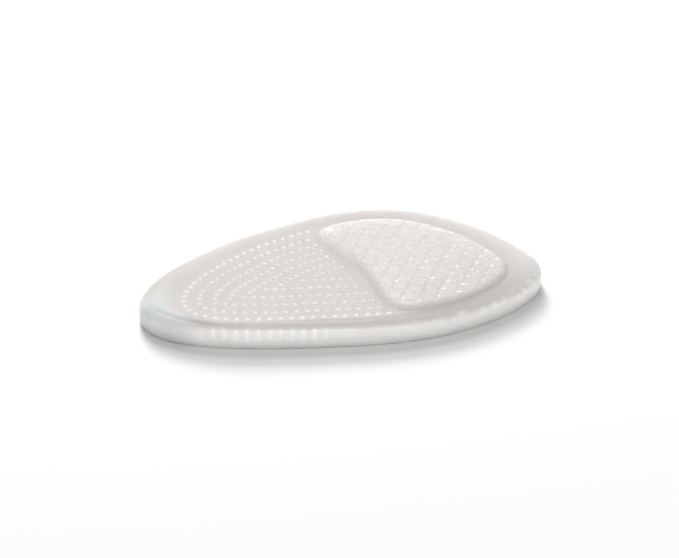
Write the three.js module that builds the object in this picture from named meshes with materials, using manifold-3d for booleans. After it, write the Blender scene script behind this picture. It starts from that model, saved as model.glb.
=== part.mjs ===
// Metatarsal pad: a one-piece moulded cushion of clear silicone gel that is worn under the
// ball of the foot. It is egg shaped in plan and flat underneath, with a smooth rim, a field
// of small round nubs on its narrow half and a cross-hatched dome on its wide half.
// Millimetres. +X runs from the narrow end to the wide end, +Z up, and the base is at z = 0.

import * as THREE from 'three'
import { mergeVertices } from 'three/addons/utils/BufferGeometryUtils.js'
import Module from 'manifold-3d'

const wasm = await Module()
wasm.setup()

// Overall size

const padLength = 76
const padWidth = 50

// The plan is an ellipse drawn in or out at equal steps of its sweep. The first station is
// the wide tip, and the sweep goes round through the left side, the narrow tip and the right.
const plan = [
  { station: 'wide tip', reach: 0.965 },
  { station: 'left front', reach: 0.948 },
  { station: 'left front', reach: 1.006 },
  { station: 'left front', reach: 1.065 },
  { station: 'left side', reach: 0.939 },
  { station: 'left back', reach: 0.834 },
  { station: 'left back', reach: 0.806 },
  { station: 'left back', reach: 0.862 },
  { station: 'narrow tip', reach: 0.975 },
  { station: 'right back', reach: 1.046 },
  { station: 'right back', reach: 0.996 },
  { station: 'right back', reach: 0.939 },
  { station: 'right side', reach: 0.976 },
  { station: 'right front', reach: 1.048 },
  { station: 'right front', reach: 1.072 },
  { station: 'right front', reach: 1.057 },
]

// Side wall and rim

const wallAtNarrowEnd = 4.3
const wallAtWideEnd = 3.7
const footRound = 0.6
const rimRound = 0.7
const rimRise = 0.5
const rimSlope = 3

// The textured field, set in from the outline by its own margin on each side. Its narrow end
// bends a little towards the right.

const marginWide = 6.5
const marginNarrow = 6.8
const marginLeft = 6.6
const marginRight = 3.1
const fieldBend = 2.9
const fieldDish = 0.2

// Nubs, in rows that follow the edge of the field and lie further apart along its right side.
// The start is a share of the pitch.

const nubDiameter = 1.2
const nubHeight = 0.45
const nubPitch = 1.95
const nubStart = 0.85
const nubCrowding = 0.96
const nubRowSpacingLeft = 2.6
const nubRowSpacingRight = 3.2
const nubFacets = 6
const nubRoot = 0.4
const nubToDome = 1

// Dome over the wide part of the field. Its back edge runs across the pad and is a little
// hollow, so that the two corners reach further back than the middle.

const domeBackAt = 3.4
const domeBackLean = THREE.MathUtils.degToRad(6.5)
const domeBackHollow = 3.5
const domeCornerPower = 6
const domeStep = 0.8
const domeEdge = 1.2
const domeCrown = 1.1
const domeRoot = 1

// Hatching on the dome

const tileLength = 2.95
const tileWidth = 3.04
const tileTurn = THREE.MathUtils.degToRad(-34.5)
const tileStart = new THREE.Vector2(2.49, 1.08)
const grooveWidth = 0.4
const grooveDepth = 0.3

// How finely the surfaces are cut

const planSteps = 72
const domeSteps = 40
const finePlanSteps = 1440

// Plan outline: the stations are joined by one smooth closed wave, then brought to size

function reachAt(sweep) {
  const count = plan.length
  let reach = 0
  for (let i = 0; i < count; i++) {
    const half = (sweep - (i * 2 * Math.PI) / count) / 2
    const onStation = Math.abs(Math.sin(half)) < 1e-9
    const share = onStation ? 1 : (Math.sin(count * half) * Math.cos(half)) / (count * Math.sin(half))
    reach += plan[i].reach * share
  }
  return reach
}

function rawOutline(sweep) {
  const reach = reachAt(sweep)
  return new THREE.Vector2(reach * Math.cos(sweep), reach * Math.sin(sweep))
}

const rawBox = new THREE.Box2()
for (let i = 0; i < finePlanSteps; i++) {
  rawBox.expandByPoint(rawOutline((i * 2 * Math.PI) / finePlanSteps))
}
const rawCentre = rawBox.getCenter(new THREE.Vector2())
const rawSize = rawBox.getSize(new THREE.Vector2())
const planScale = new THREE.Vector2(padLength / rawSize.x, padWidth / rawSize.y)

function outlineAt(sweep) {
  return rawOutline(sweep).sub(rawCentre).multiply(planScale)
}

// Inward direction across the outline
function inwardAt(sweep) {
  const step = 1e-3
  const along = outlineAt(sweep + step).sub(outlineAt(sweep - step)).normalize()
  return new THREE.Vector2(-along.y, along.x)
}

// The field keeps the outline's shape, fitted between the four margins and then bent

const fieldScale = new THREE.Vector2(
  (padLength - marginWide - marginNarrow) / padLength,
  (padWidth - marginLeft - marginRight) / padWidth,
)
const fieldCentre = new THREE.Vector2(
  (marginNarrow - marginWide) / 2,
  (marginRight - marginLeft) / 2,
)

const halfFieldLength = (padLength - marginWide - marginNarrow) / 2
const halfFieldWidth = (padWidth - marginLeft - marginRight) / 2

function fieldEdgeAt(sweep) {
  const point = outlineAt(sweep).multiply(fieldScale).add(fieldCentre)
  const towardsNarrow = Math.max(fieldCentre.x - point.x, 0) / halfFieldLength
  point.y -= fieldBend * towardsNarrow ** 2
  return point
}

const fieldEdge = []
const fieldInward = []
for (let i = 0; i < finePlanSteps; i++) {
  const sweep = (i * 2 * Math.PI) / finePlanSteps
  const along = fieldEdgeAt(sweep + 1e-3).sub(fieldEdgeAt(sweep - 1e-3)).normalize()
  fieldEdge.push(fieldEdgeAt(sweep))
  fieldInward.push(new THREE.Vector2(-along.y, along.x))
}

function nearestOnFieldEdge(point) {
  let nearest = fieldEdge[0]
  for (const edgePoint of fieldEdge) {
    if (edgePoint.distanceTo(point) < nearest.distanceTo(point)) {
      nearest = edgePoint
    }
  }
  return nearest
}

// Heights

function wallTopAt(x) {
  const share = THREE.MathUtils.smoothstep(x, -padLength / 2, padLength / 2)
  return THREE.MathUtils.lerp(wallAtNarrowEnd, wallAtWideEnd, share)
}

function rimTopAt(x) {
  return wallTopAt(x) + rimRise
}

// Height of the field's floor, with depth as the share of the way from its edge to its centre
function floorAt(x, depth) {
  return rimTopAt(x) - fieldDish * THREE.MathUtils.smoothstep(depth, 0, 0.25)
}

// Closed solids from rings of equal length, given from the bottom up, each end closed by a fan

function solidFromRings(rings, bottomPoint, topPoint) {
  const count = rings[0].length
  const points = [...rings.flat(), bottomPoint, topPoint]
  const bottom = points.length - 2
  const top = points.length - 1
  const lastRing = (rings.length - 1) * count
  const faces = []
  for (let i = 0; i < count; i++) {
    const next = (i + 1) % count
    faces.push(bottom, next, i)
    for (let r = 0; r < rings.length - 1; r++) {
      const low = r * count
      const high = low + count
      faces.push(low + i, low + next, high + next)
      faces.push(low + i, high + next, high + i)
    }
    faces.push(lastRing + i, lastRing + next, top)
  }
  return new wasm.Manifold(
    new wasm.Mesh({
      numProp: 3,
      vertProperties: new Float32Array(points.flatMap((point) => point.toArray())),
      triVerts: new Uint32Array(faces),
    }),
  )
}

// A closed solid from a ready-made geometry, its shared corners merged
function solidFromGeometry(geometry) {
  geometry.deleteAttribute('normal')
  geometry.deleteAttribute('uv')
  const closed = mergeVertices(geometry)
  return new wasm.Manifold(
    new wasm.Mesh({
      numProp: 3,
      vertProperties: new Float32Array(closed.getAttribute('position').array),
      triVerts: new Uint32Array(closed.getIndex().array),
    }),
  )
}

// Gel body: foot, wall, rim and field floor as rings round the outline. Each of its points is
// matched with the nearest point of the field's edge.

const bodySweeps = []
for (let i = 0; i < planSteps; i++) {
  bodySweeps.push((i * 2 * Math.PI) / planSteps)
}

function outlineRing(inset, heightAt) {
  return bodySweeps.map((sweep) => {
    const point = outlineAt(sweep).addScaledVector(inwardAt(sweep), inset)
    return new THREE.Vector3(point.x, point.y, heightAt(point.x))
  })
}

// The rim's slope runs towards the field and ends short of it where the rim is narrow
function slopeRing() {
  return bodySweeps.map((sweep) => {
    const point = outlineAt(sweep)
    const across = nearestOnFieldEdge(point).clone().sub(point)
    point.add(across.setLength(Math.min(rimSlope, 0.75 * across.length())))
    return new THREE.Vector3(point.x, point.y, rimTopAt(point.x))
  })
}

function fieldRing(depth) {
  return bodySweeps.map((sweep) => {
    const point = nearestOnFieldEdge(outlineAt(sweep)).clone().lerp(fieldCentre, depth)
    return new THREE.Vector3(point.x, point.y, floorAt(point.x, depth))
  })
}

const bodyRings = []
const roundTurns = [0, 0.5, 1].map((share) => (share * Math.PI) / 2)
for (const turn of roundTurns) {
  const inset = footRound * (1 - Math.sin(turn))
  bodyRings.push(outlineRing(inset, () => footRound * (1 - Math.cos(turn))))
}
for (const turn of roundTurns) {
  const inset = rimRound * (1 - Math.cos(turn))
  bodyRings.push(outlineRing(inset, (x) => wallTopAt(x) - rimRound * (1 - Math.sin(turn))))
}
bodyRings.push(slopeRing())
for (const depth of [0, 0.25, 0.6]) {
  bodyRings.push(fieldRing(depth))
}

const bodyFoot = new THREE.Vector3(fieldCentre.x, fieldCentre.y, 0)
const bodyTop = new THREE.Vector3(fieldCentre.x, fieldCentre.y, floorAt(fieldCentre.x, 1))
let pad = solidFromRings(bodyRings, bodyFoot, bodyTop)

// Dome outline: the field's edge cut off by the back edge, its corners rounded where they meet

const backDirection = new THREE.Vector2(Math.cos(domeBackLean), Math.sin(domeBackLean))
const backPoint = new THREE.Vector2(domeBackAt, fieldCentre.y)
const frontTip = fieldEdgeAt(0).x
const domeCentre = new THREE.Vector2((domeBackAt + frontTip) / 2, fieldCentre.y)

// Distance from the dome's centre to the field's edge, looking along a direction
function reachToFieldEdge(direction) {
  let best = 0
  let bestAlign = -1
  for (const point of fieldEdge) {
    const offset = point.clone().sub(domeCentre)
    const align = offset.dot(direction) / offset.length()
    if (align > bestAlign) {
      bestAlign = align
      best = offset.length()
    }
  }
  return best
}

// Distance from the dome's centre to its back edge: a straight line, let out by the hollow
function reachToBack(direction) {
  const towardsBack = Math.max(-backDirection.dot(direction), 1e-6)
  const toLine = backDirection.dot(domeCentre.clone().sub(backPoint)) / towardsBack
  const across = (backDirection.cross(direction) * toLine) / halfFieldWidth
  return toLine + (domeBackHollow * across ** 2) / towardsBack
}

function domeReach(direction) {
  const toEdge = reachToFieldEdge(direction)
  const toBack = reachToBack(direction)
  const sum = toEdge ** -domeCornerPower + toBack ** -domeCornerPower
  return sum ** (-1 / domeCornerPower)
}

const domeRays = []
for (let i = 0; i < domeSteps; i++) {
  const bearing = (i * 2 * Math.PI) / domeSteps
  const direction = new THREE.Vector2(Math.cos(bearing), Math.sin(bearing))
  domeRays.push(direction.multiplyScalar(domeReach(direction)))
}

// Dome surface height, with share as the part of the way from its centre to its edge
function domeTopAt(x, share) {
  return rimTopAt(x) - fieldDish + domeStep + domeCrown * (1 - share * share)
}

// Rings go from the root under the field's floor, up the sloped edge and over the crown
function domeSolid(lowering) {
  const stages = [
    { inset: 0, share: 1, drop: domeStep + domeRoot },
    { inset: 0, share: 1, drop: 0.9 * domeStep },
    { inset: 0.5 * domeEdge, share: 1, drop: 0.5 * domeStep },
    { inset: domeEdge, share: 1, drop: 0 },
    { inset: domeEdge, share: 0.75, drop: 0 },
    { inset: domeEdge, share: 0.4, drop: 0 },
  ]
  const rings = stages.map(({ inset, share, drop }) =>
    domeRays.map((ray) => {
      const reach = (ray.length() - inset) * share
      const point = ray.clone().setLength(reach).add(domeCentre)
      const height = domeTopAt(point.x, reach / ray.length()) - drop - lowering
      return new THREE.Vector3(point.x, point.y, height)
    }),
  )
  const foot = new THREE.Vector3(domeCentre.x, domeCentre.y, rings[0][0].z)
  const top = new THREE.Vector3(domeCentre.x, domeCentre.y, domeTopAt(domeCentre.x, 0) - lowering)
  return solidFromRings(rings, foot, top)
}

// Hatching: upright columns on a turned grid keep the tiles and leave the grooves between them

const domeReachMost = Math.max(...domeRays.map((ray) => ray.length()))
const tileCount = Math.ceil((domeReachMost + tileStart.length()) / Math.min(tileLength, tileWidth))
const columnHeight = 2 * (rimTopAt(0) + domeStep + domeCrown)
const columnShape = solidFromGeometry(
  new THREE.BoxGeometry(tileLength - grooveWidth, tileWidth - grooveWidth, columnHeight),
)
const columns = []
for (let i = -tileCount; i <= tileCount; i++) {
  for (let j = -tileCount; j <= tileCount; j++) {
    const centre = new THREE.Vector2(i * tileLength, j * tileWidth).add(tileStart)
    if (centre.length() > domeReachMost + Math.max(tileLength, tileWidth)) {
      continue
    }
    columns.push(columnShape.translate([centre.x, centre.y, 0]))
  }
}
const grid = wasm.Manifold.compose(columns)
  .rotate([0, 0, THREE.MathUtils.radToDeg(tileTurn)])
  .translate([domeCentre.x, domeCentre.y, 0])
pad = pad.add(domeSolid(grooveDepth)).add(domeSolid(0).intersect(grid))

// Nubs: each row runs along the field's edge, further in than the last, and is walked at an
// even pitch, which is a little closer in each further row. They stay clear of the dome.

// Points of a row, without those that have crossed over where the field is too narrow
function nubRow(row) {
  const points = []
  fieldEdge.forEach((edgePoint, i) => {
    const rightness = (1 + fieldInward[i].y) / 2
    const spacing = THREE.MathUtils.lerp(nubRowSpacingLeft, nubRowSpacingRight, rightness)
    const inset = nubDiameter / 2 + row * spacing
    const point = edgePoint.clone().addScaledVector(fieldInward[i], inset)
    if (nearestOnFieldEdge(point).distanceTo(point) > 0.97 * inset) {
      points.push(point)
    }
  })
  return points
}

function evenlySpaced(walk, pitch, start) {
  const spots = []
  let travelled = pitch * (1 - start)
  for (let i = 1; i < walk.length; i++) {
    travelled += walk[i].distanceTo(walk[i - 1])
    if (travelled >= pitch) {
      travelled %= pitch
      spots.push(walk[i])
    }
  }
  return spots
}

// A nub is a tapered stub with a low point on top. Its sides run straight down into the gel.
const nubShoulder = { radius: 0.36 * nubDiameter, height: 0.75 * nubHeight }
const nubTaper = (nubDiameter / 2 - nubShoulder.radius) / nubShoulder.height
const nubFoot = { radius: nubDiameter / 2 + nubTaper * nubRoot, height: -nubRoot }

function nubRing({ radius, height }) {
  const ring = []
  for (let i = 0; i < nubFacets; i++) {
    const bearing = (i * 2 * Math.PI) / nubFacets
    ring.push(new THREE.Vector3(radius * Math.cos(bearing), radius * Math.sin(bearing), height))
  }
  return ring
}

const nubShape = solidFromRings(
  [nubRing(nubFoot), nubRing(nubShoulder)],
  new THREE.Vector3(0, 0, nubFoot.height),
  new THREE.Vector3(0, 0, nubHeight),
)

const nubs = []
const nubSpots = []
const rowCount = Math.floor(halfFieldWidth / nubRowSpacingLeft)
for (let row = 0; row < rowCount; row++) {
  const pitch = nubPitch * nubCrowding ** row
  const start = nubStart + (row % 2 === 0 ? 0 : 0.5)
  for (const spot of evenlySpaced(nubRow(row), pitch, start % 1)) {
    const fromDome = spot.clone().sub(domeCentre)
    const clearOfDome = fromDome.length() > domeReach(fromDome.clone().normalize()) + nubToDome
    const clearOfNubs = nubSpots.every((other) => other.distanceTo(spot) > nubDiameter)
    if (clearOfDome && clearOfNubs) {
      nubSpots.push(spot)
      const depth = nearestOnFieldEdge(spot).distanceTo(spot) / halfFieldWidth
      nubs.push(nubShape.translate([spot.x, spot.y, floorAt(spot.x, depth)]))
    }
  }
}
pad = pad.add(wasm.Manifold.compose(nubs))

// One mesh for the whole piece, with the near-flat slivers that the cuts leave taken out

const flatness = 0.03
pad = pad.simplify(flatness)

const merged = pad.getMesh()
const geometry = new THREE.BufferGeometry()
geometry.setAttribute('position', new THREE.BufferAttribute(merged.vertProperties, 3))
geometry.setIndex(new THREE.BufferAttribute(merged.triVerts, 1))
geometry.computeVertexNormals()

const gel = new THREE.MeshStandardMaterial({
  color: 0xe6e4e0,
  roughness: 0.25,
  transparent: true,
  opacity: 0.85,
})
const gelPad = new THREE.Mesh(geometry, gel)
gelPad.name = 'gel_pad'

const part = new THREE.Group()
part.name = 'metatarsal_pad'
part.add(gelPad)

export default part
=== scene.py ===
# Metatarsal pad in milky silicone gel, lying textured face up on a pale studio floor.
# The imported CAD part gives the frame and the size. Everything here is in metres.

import math

import bpy
import numpy as np
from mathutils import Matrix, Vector


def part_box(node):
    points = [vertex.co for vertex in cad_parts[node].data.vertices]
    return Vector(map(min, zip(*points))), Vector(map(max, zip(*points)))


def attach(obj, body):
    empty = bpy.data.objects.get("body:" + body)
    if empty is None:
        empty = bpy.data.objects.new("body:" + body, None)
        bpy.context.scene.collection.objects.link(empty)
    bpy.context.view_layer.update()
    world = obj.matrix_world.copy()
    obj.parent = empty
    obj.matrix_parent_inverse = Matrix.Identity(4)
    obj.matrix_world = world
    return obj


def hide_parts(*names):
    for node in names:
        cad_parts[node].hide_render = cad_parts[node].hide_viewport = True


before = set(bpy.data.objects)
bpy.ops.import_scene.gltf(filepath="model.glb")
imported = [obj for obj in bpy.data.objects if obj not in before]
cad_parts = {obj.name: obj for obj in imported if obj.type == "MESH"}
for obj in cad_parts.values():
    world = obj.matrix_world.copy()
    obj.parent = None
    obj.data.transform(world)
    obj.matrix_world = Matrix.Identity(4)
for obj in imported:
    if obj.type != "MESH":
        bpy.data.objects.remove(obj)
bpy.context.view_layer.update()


# Camera
# It looks down on the pad from the front of its right side, through a long lens, so that the
# narrow end points to the left and towards the viewer. The pad sits a little low of centre.

image_width_px = 679
camera_azimuth = math.radians(-16.5)
camera_elevation = math.radians(26)
camera_distance = 0.45
lens_mm = 127.4
sensor_mm = 36.0
pixels_per_metre = lens_mm / sensor_mm * image_width_px / camera_distance
pad_left_of_centre_px = 5.3
pad_below_centre_px = 9.4

camera_back = Vector((
    math.sin(camera_azimuth) * math.cos(camera_elevation),
    -math.cos(camera_azimuth) * math.cos(camera_elevation),
    math.sin(camera_elevation),
))
camera_turn = camera_back.to_track_quat("Z", "Y")
camera_right = camera_turn @ Vector((1, 0, 0))
camera_up = camera_turn @ Vector((0, 1, 0))
camera_target = (
    camera_right * (pad_left_of_centre_px / pixels_per_metre)
    + camera_up * (pad_below_centre_px / pixels_per_metre)
)
camera_data = bpy.data.cameras.new("view_camera")
camera_data.lens = lens_mm
camera_data.sensor_width = sensor_mm
camera_data.dof.use_dof = False
camera = bpy.data.objects.new("view_camera", camera_data)
camera.location = camera_target + camera_back * camera_distance
camera.rotation_euler = camera_turn.to_euler()
bpy.context.scene.collection.objects.link(camera)
bpy.context.scene.camera = camera


# Gel pad
# One piece of cast silicone gel with a flat tacky base. Its top carries a smooth rim, rows of
# round nubs over the narrow half, and a low dome over the wide half that is cut into square
# tiles by a net of fine grooves.

pad_low, pad_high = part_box("gel_pad")
pad_length = pad_high[0] - pad_low[0]
pad_width = pad_high[1] - pad_low[1]
pad_base = pad_low[2]

# Reach of the plan outline from its middle at sixteen equal steps of sweep, as a share of the
# ellipse, from the wide tip round by the left side, the narrow tip and the right side.
plan_reach = np.array([
    0.965, 0.948, 1.006, 1.065, 0.939, 0.834, 0.806, 0.862,
    0.975, 1.046, 0.996, 0.939, 0.976, 1.048, 1.072, 1.057,
])

wall_at_narrow_end = 0.0043
wall_at_wide_end = 0.0037
foot_round = 0.0006
rim_round = 0.0007
rim_round_at_tip = 0.0018
rim_rise = 0.0005
rim_slope = 0.0030

margin_wide = 0.0065
margin_narrow = 0.0068
margin_left = 0.0066
margin_right = 0.0031
field_bend = 0.0029
field_dish = 0.0002

nub_diameter = 0.00125
nub_height = 0.00030
nub_pitch = 0.00195
nub_start = 0.85
nub_crowding = 0.96
nub_row_slack = 0.97
nub_row_spacing_left = 0.0026
nub_row_spacing_right = 0.0032
nub_to_dome = 0.0010

dome_back_at = 0.0034
dome_back_lean = math.radians(6.5)
dome_back_hollow = 0.0035
dome_corner_power = 6
dome_step = 0.0008
dome_edge = 0.0013
dome_edge_at_back = 0.0024
dome_back_turn = 0.8
dome_crown = 0.0011

tile_length = 0.00295
tile_width = 0.00304
tile_turn = math.radians(-34.5)
tile_start = (0.00249, 0.00108)
groove_width = 0.00036
groove_depths = (0.00014, 0.00020)
groove_bell = 0.6

sweep_steps = 1440
sweep_nudge = 1e-4
nearly_zero = 1e-9
least_back_share = 1e-6


def smoothstep(low, high, value):
    """0 below low, 1 above high, and the cubic 3t^2 - 2t^3 of the share t between them."""
    share = np.clip((value - low) / (high - low), 0.0, 1.0)
    return share * share * (3.0 - 2.0 * share)


def raw_outline(sweep):
    """Reach times (cos, sin) of the sweep. The reach is the smooth wave through the stations:
    each station's value times sin(n h) cos(h) / (n sin h), with h half the angle to it."""
    count = len(plan_reach)
    half = (np.asarray(sweep)[..., None] - np.arange(count) * 2 * np.pi / count) / 2
    near = np.abs(np.sin(half)) < nearly_zero
    safe = np.where(near, 1.0, np.sin(half))
    share = np.where(near, 1.0, np.sin(count * half) * np.cos(half) / (count * safe))
    reach = share @ plan_reach
    return np.stack([reach * np.cos(sweep), reach * np.sin(sweep)], axis=-1)


fine_sweep = np.linspace(0, 2 * np.pi, sweep_steps, endpoint=False)
raw_low = raw_outline(fine_sweep).min(axis=0)
raw_high = raw_outline(fine_sweep).max(axis=0)


def outline(sweep):
    """The raw outline moved to the middle and stretched to the pad's length and width."""
    middle = (raw_low + raw_high) / 2
    return (raw_outline(sweep) - middle) / (raw_high - raw_low) * [pad_length, pad_width]


def inward(curve, sweep):
    """Unit direction across a curve towards its inside: its tangent turned a quarter left."""
    along = curve(sweep + sweep_nudge) - curve(sweep - sweep_nudge)
    along = along / np.linalg.norm(along, axis=-1, keepdims=True)
    return np.stack([-along[..., 1], along[..., 0]], axis=-1)


field_scale = np.array([
    1 - (margin_wide + margin_narrow) / pad_length,
    1 - (margin_left + margin_right) / pad_width,
])
field_centre = np.array([(margin_narrow - margin_wide) / 2, (margin_right - margin_left) / 2])
half_field_length = (pad_length - margin_wide - margin_narrow) / 2
half_field_width = (pad_width - margin_left - margin_right) / 2


def field_edge(sweep):
    """The outline scaled to fit between the margins, with its narrow half bent towards the right
    by the bend times the square of the share of the way to the narrow tip."""
    edge = outline(sweep) * field_scale + field_centre
    towards_narrow = np.maximum(field_centre[0] - edge[..., 0], 0.0) / half_field_length
    bend = field_bend * towards_narrow ** 2
    return np.stack([edge[..., 0], edge[..., 1] - bend], axis=-1)


# Each point of the outline is matched with the nearest point of the field's edge

match_gap = np.linalg.norm(outline(fine_sweep)[:, None] - field_edge(fine_sweep)[None], axis=2)
match_sweep = np.unwrap(fine_sweep[match_gap.argmin(axis=1)])


def matched_sweep(sweep):
    """Sweep of the field edge's point that is nearest to the outline's point at a sweep."""
    return sweep + np.interp(sweep, fine_sweep, match_sweep - fine_sweep, period=2 * np.pi)


def wall_top(x):
    """Height of the wall's top edge, eased from the narrow end's value to the wide end's."""
    share = smoothstep(-pad_length / 2, pad_length / 2, x)
    return pad_base + wall_at_narrow_end + (wall_at_wide_end - wall_at_narrow_end) * share


# Dome outline: from the dome's centre each ray ends at the field's edge or at the back edge,
# whichever is nearer, and a high power blends the two so that the corners come out round.

back_direction = np.array([math.cos(dome_back_lean), math.sin(dome_back_lean)])
back_point = np.array([dome_back_at, field_centre[1]])
dome_centre = np.array([(dome_back_at + field_edge(0.0)[0]) / 2, field_centre[1]])
edge_from_dome = field_edge(fine_sweep) - dome_centre
edge_bearing = np.arctan2(edge_from_dome[:, 1], edge_from_dome[:, 0])
bearing_order = np.argsort(edge_bearing)


def towards_back(bearing):
    """Cosine of the angle between a bearing and the way from the dome's centre to its back."""
    return -(np.cos(bearing) * back_direction[0] + np.sin(bearing) * back_direction[1])


def dome_reach(bearing):
    """Length of the ray at a bearing: (a^-p + b^-p)^(-1/p) of its lengths a to the field's edge
    and b to the back edge, a straight line let out by the hollow times the square of the share
    of the way along it."""
    to_edge = np.interp(
        bearing,
        edge_bearing[bearing_order],
        np.linalg.norm(edge_from_dome, axis=1)[bearing_order],
        period=2 * np.pi,
    )
    back_share = np.maximum(towards_back(bearing), least_back_share)
    to_line = (dome_centre - back_point) @ back_direction / back_share
    across = back_direction[0] * np.sin(bearing) - back_direction[1] * np.cos(bearing)
    to_back = to_line + dome_back_hollow * (across * to_line / half_field_width) ** 2 / back_share
    power = -dome_corner_power
    return (to_edge ** power + to_back ** power) ** (1 / power)


def along_tiles(x, y):
    """Distances along the two directions of the tiles' grid from its start. The grid is turned
    about the dome's centre, and its lines lie half a pitch from the start and then a pitch
    apart."""
    across = x - dome_centre[0]
    up = y - dome_centre[1]
    along_a = across * math.cos(tile_turn) + up * math.sin(tile_turn) - tile_start[0]
    along_b = -across * math.sin(tile_turn) + up * math.cos(tile_turn) - tile_start[1]
    return along_a, along_b


def tile_drop(x, y):
    """Depth of the groove net: a bell curve of the distance to the nearest line of the grid, the
    deeper of the two directions."""
    drop = 0.0
    for along, pitch, depth in zip(along_tiles(x, y), (tile_length, tile_width), groove_depths):
        from_line = np.abs((along / pitch) % 1.0 - 0.5) * pitch
        bell = np.exp(-((from_line / (groove_bell * groove_width)) ** 2))
        drop = np.maximum(drop, depth * bell)
    return drop


def from_dome(x, y):
    """Bearing from the dome's centre, share of the way out to its outline, and that way's
    length."""
    across = x - dome_centre[0]
    up = y - dome_centre[1]
    bearing = np.arctan2(up, across)
    reach = dome_reach(bearing)
    return bearing, np.hypot(across, up) / reach, reach


def on_dome(x, y):
    """0 outside the dome's outline, eased to 1 over the width of its edge, which grows to its
    full width where the bearing turns towards the back."""
    bearing, share, reach = from_dome(x, y)
    at_back = smoothstep(0.0, dome_back_turn, towards_back(bearing))
    edge = dome_edge + (dome_edge_at_back - dome_edge) * at_back
    return smoothstep(0.0, edge, (1 - share) * reach)


def dome_rise(x, y):
    """Height of the dome over the field: a step eased over its edge, plus a crown that falls
    with the square of the share of the way out, less the grooves."""
    share = from_dome(x, y)[1]
    crown = dome_crown * np.clip(1 - share * share, 0.0, 1.0)
    return on_dome(x, y) * (dome_step + crown - tile_drop(x, y))


# Nub rows: each runs along the field's edge, further in than the last, and lies further apart
# along the right side than along the left. Every other row starts half a pitch further on.

edge_points = field_edge(fine_sweep)
edge_inward = inward(field_edge, fine_sweep)
row_spacing = nub_row_spacing_left + (nub_row_spacing_right - nub_row_spacing_left) * (
    (1 + edge_inward[:, 1]) / 2
)


def nub_row(row, pitch, stagger):
    """Points inside the edge by the row's number times the spacing there, less those nearer to
    some other stretch of it, taken each time the length walked passes one more pitch."""
    inset = nub_diameter / 2 + row * row_spacing
    points = edge_points + edge_inward * inset[:, None]
    gap = np.linalg.norm(points[:, None, :] - edge_points[None, :, :], axis=2).min(axis=1)
    points = points[gap > nub_row_slack * inset]
    steps = np.linalg.norm(np.diff(points, axis=0), axis=1)
    walked = (1 - stagger) + np.cumsum(steps) / pitch
    return points[1:][np.diff(np.floor(walked), prepend=0) > 0]


nub_centres = np.empty((0, 2))
nub_rows = []
for row in range(int(half_field_width / nub_row_spacing_left)):
    pitch = nub_pitch * nub_crowding ** row
    start = (nub_start + 0.5 * (row % 2)) % 1.0
    spots = nub_row(row, pitch, start)
    _, share, reach = from_dome(*spots.T)
    for spot in spots[(share - 1) * reach > nub_to_dome]:
        if len(nub_centres) == 0 or np.linalg.norm(nub_centres - spot, axis=1).min() > nub_diameter:
            nub_centres = np.vstack([nub_centres, spot])
            nub_rows.append(row)
nub_rows = np.array(nub_rows)


# Painted highlight: the nub tops get a paler tone for the light they gather, the most in the
# outermost row and at the narrow tip, and they get fainter and lower further in and towards the
# dome

nubs_towards_tip = (0.008, 0.026)
highlight_by_row = np.array([0.9, 0.4, 0.1, 0.0])
highlight_at_tip = 0.6
inner_fullness = 0.33
tip_fullness = 0.45

near_tip = smoothstep(*nubs_towards_tip, -nub_centres[:, 0])
nub_highlight = highlight_by_row[np.minimum(nub_rows, len(highlight_by_row) - 1)]
nub_highlight = np.maximum(nub_highlight, highlight_at_tip * near_tip)
nub_fullness = np.where(nub_rows == 0, 1.0, inner_fullness + tip_fullness * near_tip)


def nub_surface(x, y):
    """Height and painted highlight of the nubs: over each centre, with the share i = 1 - (r/R)^2 of
    the distance r, the height h i^1.2 times its fullness and its own highlight strength times
    i^1.5."""
    rise = np.zeros_like(x)
    highlight = np.zeros_like(x)
    for (centre_x, centre_y), fullness, highlight_strength in zip(nub_centres, nub_fullness, nub_highlight):
        inside = 1 - ((x - centre_x) ** 2 + (y - centre_y) ** 2) / (nub_diameter / 2) ** 2
        inside = np.clip(inside, 0.0, 1.0)
        rise = np.maximum(rise, nub_height * fullness * inside ** 1.2)
        highlight = np.maximum(highlight, highlight_strength * inside ** 1.5)
    return rise, highlight


# Top surface: a square grid bent into a disc keeps its cells nearly equal, without a pole. Its
# inner part is the textured field and its outer part the rim.

grid_cells = 440
field_share_of_grid = 0.90
rim_curve = 4
dish_width = 0.25
round_tip_from = (0.024, 0.037)


def square_to_disc(a, b):
    """The larger of the two coordinates is the radius, and the ratio of the smaller to it,
    times an eighth of a turn, is the bearing within that quarter."""
    wide = np.abs(a) >= np.abs(b)
    radius = np.where(wide, a, b)
    ratio = np.where(wide, b, a) / np.where(radius == 0, 1.0, radius)
    turn = np.where(wide, ratio * np.pi / 4, np.pi / 2 - ratio * np.pi / 4)
    return radius * np.cos(turn), radius * np.sin(turn)


steps = np.linspace(-1, 1, grid_cells + 1)
square_a, square_b = np.meshgrid(steps, steps, indexing="ij")
disc_x, disc_y = square_to_disc(square_a.ravel(), square_b.ravel())
disc_radius = np.hypot(disc_x, disc_y)
disc_sweep = np.arctan2(disc_y, disc_x)


def rim_round_at(sweep):
    """Radius of the rim's edge: the common one, eased to the larger one over the narrow tip."""
    share = smoothstep(*round_tip_from, -outline(sweep)[..., 0])
    return rim_round + (rim_round_at_tip - rim_round) * share


field_share = np.clip(disc_radius / field_share_of_grid, 0.0, 1.0)
rim_share = np.clip((disc_radius - field_share_of_grid) / (1 - field_share_of_grid), 0.0, 1.0)
shoulder = outline(disc_sweep) + inward(outline, disc_sweep) * rim_round_at(disc_sweep)[:, None]
edge_of_field = field_edge(matched_sweep(disc_sweep))
in_field = field_centre + (edge_of_field - field_centre) * field_share[:, None]
top_plan = in_field + (shoulder - edge_of_field) * rim_share[:, None]
top_x, top_y = top_plan.T

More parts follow.
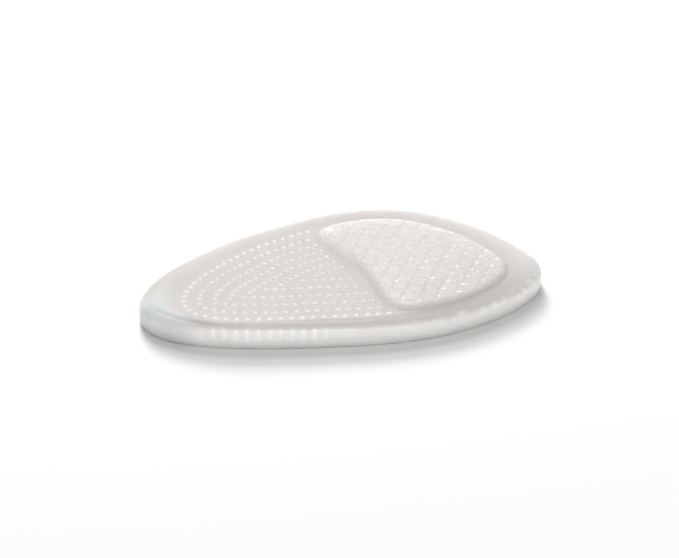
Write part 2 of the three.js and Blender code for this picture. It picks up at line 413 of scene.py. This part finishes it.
rim_here = np.linalg.norm(shoulder - edge_of_field, axis=1)
from_shoulder = np.linalg.norm(top_plan - shoulder, axis=1)
up_the_slope = np.clip(from_shoulder / np.minimum(rim_slope, rim_here), 0.0, 1.0)
rim_climb = 1 - (1 - up_the_slope) ** rim_curve
dish = smoothstep(0.0, dish_width, 1 - field_share)
top_nub_rise, top_nub_highlight = nub_surface(top_x, top_y)
top_z = (
    wall_top(top_x)
    + rim_rise * rim_climb
    - field_dish * dish
    + dome_rise(top_x, top_y)
    + top_nub_rise
)
top_points = np.column_stack([top_x, top_y, top_z])

# Side: rings down from the top's border round the rim, the wall and the foot. The wall's painted
# light, a paler tone that lifts it out of shade, comes in over the rim's round and the rest of it
# down the wall.

rim_rings = 6
wall_rings = 10
foot_rings = 4
wall_light_over_rim = 0.45

cell_index = np.arange((grid_cells + 1) ** 2).reshape(grid_cells + 1, grid_cells + 1)
border = np.concatenate([
    cell_index[:-1, 0], cell_index[-1, :-1], cell_index[:0:-1, -1], cell_index[0, :0:-1],
])
border_sweep = disc_sweep[border]
border_outline = outline(border_sweep)
border_inward = inward(outline, border_sweep)
border_top = wall_top(border_outline[:, 0])
border_round = rim_round_at(border_sweep)

side_rings = []
ring_wall_light = []
for turn in np.linspace(0, np.pi / 2, rim_rings + 1)[1:]:
    inset = border_round * (1 - math.sin(turn))
    side_rings.append((inset, border_top - border_round * (1 - math.cos(turn))))
    ring_wall_light.append(wall_light_over_rim * (1 - math.cos(turn)))
for share in np.arange(1, wall_rings + 1) / (wall_rings + 1):
    drop = (border_top - border_round - pad_base - foot_round) * share
    side_rings.append((np.zeros(len(border)), border_top - border_round - drop))
    ring_wall_light.append(wall_light_over_rim + (1 - wall_light_over_rim) * share)
for turn in np.linspace(0, np.pi / 2, foot_rings + 1):
    inset = np.full(len(border), foot_round * (1 - math.cos(turn)))
    side_rings.append((inset, np.full(len(border), pad_base + foot_round * (1 - math.sin(turn)))))
    ring_wall_light.append(1.0)
side_points = np.vstack([
    np.column_stack([border_outline + border_inward * inset[:, None], height])
    for inset, height in side_rings
])

ring_count = len(side_rings)
border_count = len(border)
side_index = len(top_points) + np.arange(ring_count * border_count)
ring_index = np.vstack([border, side_index.reshape(ring_count, border_count)])
upper = ring_index[:-1]
lower = ring_index[1:]
side_faces = np.stack([
    upper, lower, np.roll(lower, -1, axis=1), np.roll(upper, -1, axis=1),
], axis=-1).reshape(-1, 4)
top_faces = np.stack([
    cell_index[:-1, :-1], cell_index[1:, :-1], cell_index[1:, 1:], cell_index[:-1, 1:],
], axis=-1).reshape(-1, 4)

pad_mesh = bpy.data.meshes.new("gel_cushion")
pad_mesh.from_pydata(
    np.vstack([top_points, side_points]).tolist(),
    [],
    np.vstack([top_faces, side_faces]).tolist() + [ring_index[-1][::-1].tolist()],
)
pad_mesh.update()
pad_mesh.shade_smooth()

# What the gel looks like at each point of the mesh is kept in attributes: one for each tone of its
# material, which are painted light and shade, and one for its roughness. A pair of numbers is a
# place, or the start and end of a stretch over which a tone changes or of a range for random draws.

no_top = np.zeros(len(top_points))
no_side = np.zeros(len(side_points))
side_plan = np.tile(border_outline, (ring_count, 1))
side_height = side_points[:, 2] - pad_base
below_edge = np.tile(border_top, ring_count) - side_points[:, 2]
side_wall_light = np.repeat(ring_wall_light, border_count)
plan_x = np.concatenate([top_x, side_plan[:, 0]])
plan_y = np.concatenate([top_y, side_plan[:, 1]])

# Painted light: pale upright bars that the outermost nubs throw on the right side of the narrow
# half, each with its own foot and strength

bars_come_in = (-0.0290, -0.0255)
bars_go_out = (-0.0095, -0.0060)
bar_half_width = (0.00018, 0.00055)
bar_feet = (0.0012, 0.0019)
bar_foot_fade = 0.0006
bar_top_fade = (0.0036, 0.0041)
bar_strengths = (0.65, 1.0)

bar_draw = np.random.default_rng(3)
bar_light = np.zeros(len(side_points))
for centre in nub_centres[(nub_rows == 0) & (nub_centres[:, 1] < field_centre[1])]:
    in_stretch = smoothstep(*bars_come_in, centre[0]) * (1 - smoothstep(*bars_go_out, centre[0]))
    nearest = border_outline[np.linalg.norm(border_outline - centre, axis=1).argmin()]
    from_bar = np.linalg.norm(side_plan - nearest, axis=1)
    across_bar = 1 - smoothstep(*bar_half_width, from_bar)
    foot = bar_draw.uniform(*bar_feet)
    down_bar = smoothstep(foot, foot + bar_foot_fade, side_height)
    strength = in_stretch * bar_draw.uniform(*bar_strengths)
    bar_light = np.maximum(bar_light, strength * across_bar * down_bar)
bar_light *= 1 - smoothstep(*bar_top_fade, side_height)

# Painted shade: the rim is darker along the right side in its middle and elsewhere at its edge.
# The left wall has the painted shade of the rim's edge all the way down.

rim_shade_right = {"middle": 1.0, "edge": 0.35}
rim_shade_left = {"middle": 0.45, "edge": 1.0}
rim_shade_at_end = {"middle": 0.4, "edge": 0.8}
rim_end_from = (0.014, 0.032)
rim_shade_depth = (0.55, 1.25)
rim_edge_depth = (0.0, 0.5)
left_wall_from = (-0.006, 0.008)

rim_side = inward(outline, disc_sweep)[:, 1]
rim_end = smoothstep(*rim_end_from, -top_x)
rim_shades = {}
for part in ("middle", "edge"):
    along_side = np.where(rim_side > 0, rim_shade_right[part], rim_shade_left[part]) * rim_side ** 2
    rim_shades[part] = np.maximum(along_side, rim_shade_at_end[part] * rim_end)
rim_depth = from_shoulder / rim_here
to_middle = smoothstep(*rim_edge_depth, rim_depth)
rim_shade = rim_shades["edge"] + (rim_shades["middle"] - rim_shades["edge"]) * to_middle
rim_shade *= 1 - smoothstep(*rim_shade_depth, rim_depth)
on_left_wall = smoothstep(*left_wall_from, side_plan[:, 1])
rim_shade_down = np.maximum(1 - side_wall_light / wall_light_over_rim, on_left_wall)
rim_shade_side = rim_shade_down * np.tile(rim_shades["edge"][border], ring_count)

# Painted highlight: light caught in the edge of the rim on the right side of the wide half

edge_light_along = (0.004, 0.012)
edge_light_across = (-0.002, 0.006)
edge_light_on_rim = (0.80, 1.0)
edge_light_down = (0.0007, 0.0022)
edge_light_strength = 0.6

in_edge_stretch = smoothstep(*edge_light_along, plan_x) * (
    1 - smoothstep(*edge_light_across, plan_y)
)
near_edge = np.concatenate([
    smoothstep(*edge_light_on_rim, rim_share),
    1 - smoothstep(*edge_light_down, below_edge),
])
edge_light = edge_light_strength * in_edge_stretch * near_edge

# Painted highlights on the dome: its back left corner, the crest along its left edge, and glint
# specks near the crossings of the grooves on its right half, each with its own strength

corner_at = (0.0030, 0.0148)
corner_stretch = 1.6
corner_size = 0.0011
corner_strength = 0.9
crest_strength = 2.4
crest_from = (-0.004, 0.006)
speck_shift = (0.00035, 0.00030)
speck_size = 0.00030
speck_strengths = (-0.5, 1.6)
speck_draws = 40
specks_go_out = (-0.008, 0.004)
flat_of_dome = 0.99

dome_here = on_dome(top_x, top_y)
from_corner = np.hypot(top_x - corner_at[0], (top_y - corner_at[1]) / corner_stretch)
corner_light = corner_strength * np.exp(-((from_corner / corner_size) ** 2))
crest_highlight = crest_strength * dome_here * (1 - dome_here) * smoothstep(*crest_from, top_y)
along_a, along_b = along_tiles(top_x, top_y)
cell_a = np.round(along_a / tile_length - 0.5)
cell_b = np.round(along_b / tile_width - 0.5)
from_crossing = np.hypot(
    along_a - (cell_a + 0.5) * tile_length - speck_shift[0],
    along_b - (cell_b + 0.5) * tile_width - speck_shift[1],
)
drawn = np.random.default_rng(5).uniform(*speck_strengths, (speck_draws, speck_draws))
drawn = np.maximum(drawn, 0.0)[cell_a.astype(int) % speck_draws, cell_b.astype(int) % speck_draws]
painted_glint = drawn * (1 - smoothstep(*specks_go_out, top_y)) * (dome_here > flat_of_dome)
painted_glint = np.minimum(painted_glint * np.exp(-((from_crossing / speck_size) ** 2)), 1.0)

# Painted reflection: a cool tint at the narrow tip, on the wall and the rim of its right side

reflection_along = (0.0290, 0.0350)
reflection_across = (-0.007, 0.003)
reflection_rim_power = 0.5

outside_field = np.concatenate([rim_share ** reflection_rim_power, np.ones(len(side_points))])
tip_reflection = smoothstep(*reflection_along, -plan_x) * (1 - smoothstep(*reflection_across, plan_y))
tip_reflection *= outside_field

# The gel is glossiest on the dome and dullest at the narrow tip

field_roughness = 0.34
rim_dulling = 0.02
dome_gloss = 0.20
tip_dulling = 0.14
tip_dull_from = (0.028, 0.034)
side_roughness = 0.32

top_roughness = (
    field_roughness
    + rim_dulling * smoothstep(0.0, 1.0, rim_share)
    - dome_gloss * dome_here
    + tip_dulling * smoothstep(*tip_dull_from, -top_x)
)

# Painted light and shade for the tones, the dome's share and the roughness, point by point
point_values = {
    "painted_wall_light_share": np.concatenate([no_top, side_wall_light * (1 - on_left_wall)]),
    "rim_share": np.concatenate([rim_shade, rim_shade_side]),
    "painted_edge_light_share": edge_light,
    "painted_highlight_share": np.concatenate([np.maximum.reduce([top_nub_highlight, corner_light, crest_highlight]), no_side]),
    "painted_glint_share": np.concatenate([painted_glint, no_side]),
    "painted_tip_reflection_share": tip_reflection,
    "painted_bar_light_share": np.concatenate([no_top, bar_light]),
    "dome_share": np.concatenate([dome_here, no_side]),
    "roughness_here": np.concatenate([top_roughness, no_side + side_roughness]),
}
for name, values in point_values.items():
    layer = pad_mesh.attributes.new(name, "FLOAT", "POINT")
    layer.data.foreach_set("value", values)

# The last face is the base, which is shaded flat

pad_mesh.polygons[len(pad_mesh.polygons) - 1].use_smooth = False
gel_pad = bpy.data.objects.new("gel_cushion", pad_mesh)
bpy.context.scene.collection.objects.link(gel_pad)
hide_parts("gel_pad")
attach(gel_pad, "root")

# The gel scatters light deep inside itself. Over its own base tone, painted light and shade are
# laid in turn, each by its own attribute, and some only where a cloud pattern lets them through.

scatter_depth = 0.010
gel_ior = 1.41
base_tone = (0.61, 0.58, 0.557, 1)
# Painted shade on the rim, painted sheen on the dome, painted highlights on the nub tops and the
# dome's corner and crest, painted glints at the groove crossings, painted light on the wall with
# painted refraction patches, painted reflection at the narrow tip, a painted highlight in the right
# rim's edge, and the painted light of the bars
tones = [
    {"by": "rim_share", "clouds": None, "colour": (0.455, 0.432, 0.415, 1)},
    {"by": "dome_share", "clouds": None, "colour": (0.67, 0.64, 0.615, 1)},
    {"by": "painted_highlight_share", "clouds": None, "colour": (0.83, 0.81, 0.79, 1)},
    {"by": "painted_glint_share", "clouds": None, "colour": (1.0, 0.99, 0.97, 1)},
    {"by": "painted_wall_light_share", "clouds": None, "colour": (0.96, 0.92, 0.87, 1)},
    {"by": "painted_wall_light_share", "clouds": "wide", "colour": (0.87, 0.875, 0.84, 1)},
    {"by": "painted_tip_reflection_share", "clouds": None, "colour": (0.64, 0.645, 0.635, 1)},
    {"by": "painted_tip_reflection_share", "clouds": "wide", "colour": (0.56, 0.60, 0.61, 1)},
    {"by": "painted_edge_light_share", "clouds": "small", "colour": (0.97, 0.96, 0.94, 1)},
    {"by": "painted_bar_light_share", "clouds": None, "colour": (1.0, 0.95, 0.89, 1)},
]
cloud_patterns = {
    "wide": {"scale": 240.0, "detail": 2.0, "low": 0.38, "high": 0.62},
    "small": {"scale": 600.0, "detail": 2.0, "low": 0.46, "high": 0.78},
}

gel = bpy.data.materials.new("milky_silicone_gel")
gel.use_nodes = True
nodes = gel.node_tree.nodes
links = gel.node_tree.links
shader = nodes["Principled BSDF"]
shader.inputs["IOR"].default_value = gel_ior
shader.inputs["Subsurface Weight"].default_value = 1.0
shader.inputs["Subsurface Radius"].default_value = (1.0, 1.0, 1.0)
shader.inputs["Subsurface Scale"].default_value = scatter_depth
place = nodes.new("ShaderNodeTexCoord")


def noise(scale, detail):
    """Cloudy noise in the pad's own coordinates."""
    texture = nodes.new("ShaderNodeTexNoise")
    texture.inputs["Scale"].default_value = scale
    texture.inputs["Detail"].default_value = detail
    links.new(place.outputs["Object"], texture.inputs["Vector"])
    return texture.outputs["Fac"]


def value_of(name):
    """Value of one of the mesh's attributes."""
    attribute = nodes.new("ShaderNodeAttribute")
    attribute.attribute_name = name
    return attribute.outputs["Fac"]


def product(first, second):
    """One value times the other."""
    times = nodes.new("ShaderNodeMath")
    times.operation = "MULTIPLY"
    links.new(first, times.inputs[0])
    links.new(second, times.inputs[1])
    return times.outputs["Value"]


cloud_shares = {}
for name, pattern in cloud_patterns.items():
    spread = nodes.new("ShaderNodeMapRange")
    spread.inputs["From Min"].default_value = pattern["low"]
    spread.inputs["From Max"].default_value = pattern["high"]
    links.new(noise(pattern["scale"], pattern["detail"]), spread.inputs["Value"])
    cloud_shares[name] = spread.outputs["Result"]

# On a Mix node for colours, input 0 is the share and inputs 6 and 7 are the two colours

under = None
for tone in tones:
    share = value_of(tone["by"])
    if tone["clouds"]:
        share = product(share, cloud_shares[tone["clouds"]])
    layer = nodes.new("ShaderNodeMix")
    layer.data_type = "RGBA"
    layer.inputs[6].default_value = base_tone
    layer.inputs[7].default_value = tone["colour"]
    links.new(share, layer.inputs[0])
    if under:
        links.new(under, layer.inputs[6])
    under = layer.outputs[2]
links.new(under, shader.inputs["Base Color"])
links.new(value_of("roughness_here"), shader.inputs["Roughness"])

# The skin has a slight ripple everywhere, and a fine grain on the dome

bump_depth = 0.0002
skin = [
    {"scale": 2200.0, "detail": 2.0, "only_on": "dome_share", "strength": 1.0},
    {"scale": 900.0, "detail": 3.0, "only_on": None, "strength": 0.12},
]
normal = None
for relief in skin:
    height = noise(relief["scale"], relief["detail"])
    if relief["only_on"]:
        height = product(height, value_of(relief["only_on"]))
    bump = nodes.new("ShaderNodeBump")
    bump.inputs["Strength"].default_value = relief["strength"]
    bump.inputs["Distance"].default_value = bump_depth
    links.new(height, bump.inputs["Height"])
    if normal:
        links.new(normal, bump.inputs["Normal"])
    normal = bump.outputs["Normal"]
links.new(normal, shader.inputs["Normal"])
pad_mesh.materials.append(gel)


# Floor
# A wide sheet of matt white paper under the pad's base.

floor_half = 1.5
floor_gap = 0.00003
paper_white = (0.86, 0.86, 0.86, 1)
paper_roughness = 0.9
paper_specular = 0.1

floor_corners = [(-1, -1), (1, -1), (1, 1), (-1, 1)]
floor_mesh = bpy.data.meshes.new("studio_floor")
floor_mesh.from_pydata(
    [(x * floor_half, y * floor_half, pad_base - floor_gap) for x, y in floor_corners],
    [],
    [(0, 1, 2, 3)],
)
floor = bpy.data.objects.new("studio_floor", floor_mesh)
bpy.context.scene.collection.objects.link(floor)
paper = bpy.data.materials.new("white_paper")
paper.use_nodes = True
paper_shader = paper.node_tree.nodes["Principled BSDF"]
paper_shader.inputs["Base Color"].default_value = paper_white
paper_shader.inputs["Roughness"].default_value = paper_roughness
paper_shader.inputs["Specular IOR Level"].default_value = paper_specular
floor_mesh.materials.append(paper)


# Studio light
# A soft box high behind the pad puts the sheen on the nubs, a lower and stronger one that is kept
# out of the reflections lights the gel from behind and sends the shadow forwards, and a weak one
# low in front lifts the near wall. A pale room fills the rest.

room_strength = 0.43
softboxes = [
    {"name": "back_softbox", "at": (0.10, 0.70, 0.85), "size": 0.45, "watts": 4.2, "gloss": True},
    {"name": "low_softbox", "at": (0.12, 1.05, 0.56), "size": 0.40, "watts": 15.0, "gloss": False},
    {"name": "front_fill", "at": (-0.20, -0.87, 0.13), "size": 0.40, "watts": 3.35, "gloss": True},
]
for box in softboxes:
    light_data = bpy.data.lights.new(box["name"], "AREA")
    light_data.shape = "DISK"
    light_data.size = box["size"]
    light_data.energy = box["watts"]
    light = bpy.data.objects.new(box["name"], light_data)
    light.location = box["at"]
    light.rotation_euler = Vector(box["at"]).to_track_quat("Z", "Y").to_euler()
    light.visible_glossy = box["gloss"]
    bpy.context.scene.collection.objects.link(light)

room = bpy.data.worlds.new("pale_room")
room.use_nodes = True
room_light = room.node_tree.nodes["Background"]
room_light.inputs["Color"].default_value = (1.0, 1.0, 1.0, 1)
room_light.inputs["Strength"].default_value = room_strength
bpy.context.scene.world = room
bpy.context.scene.view_settings.view_transform = "Standard"
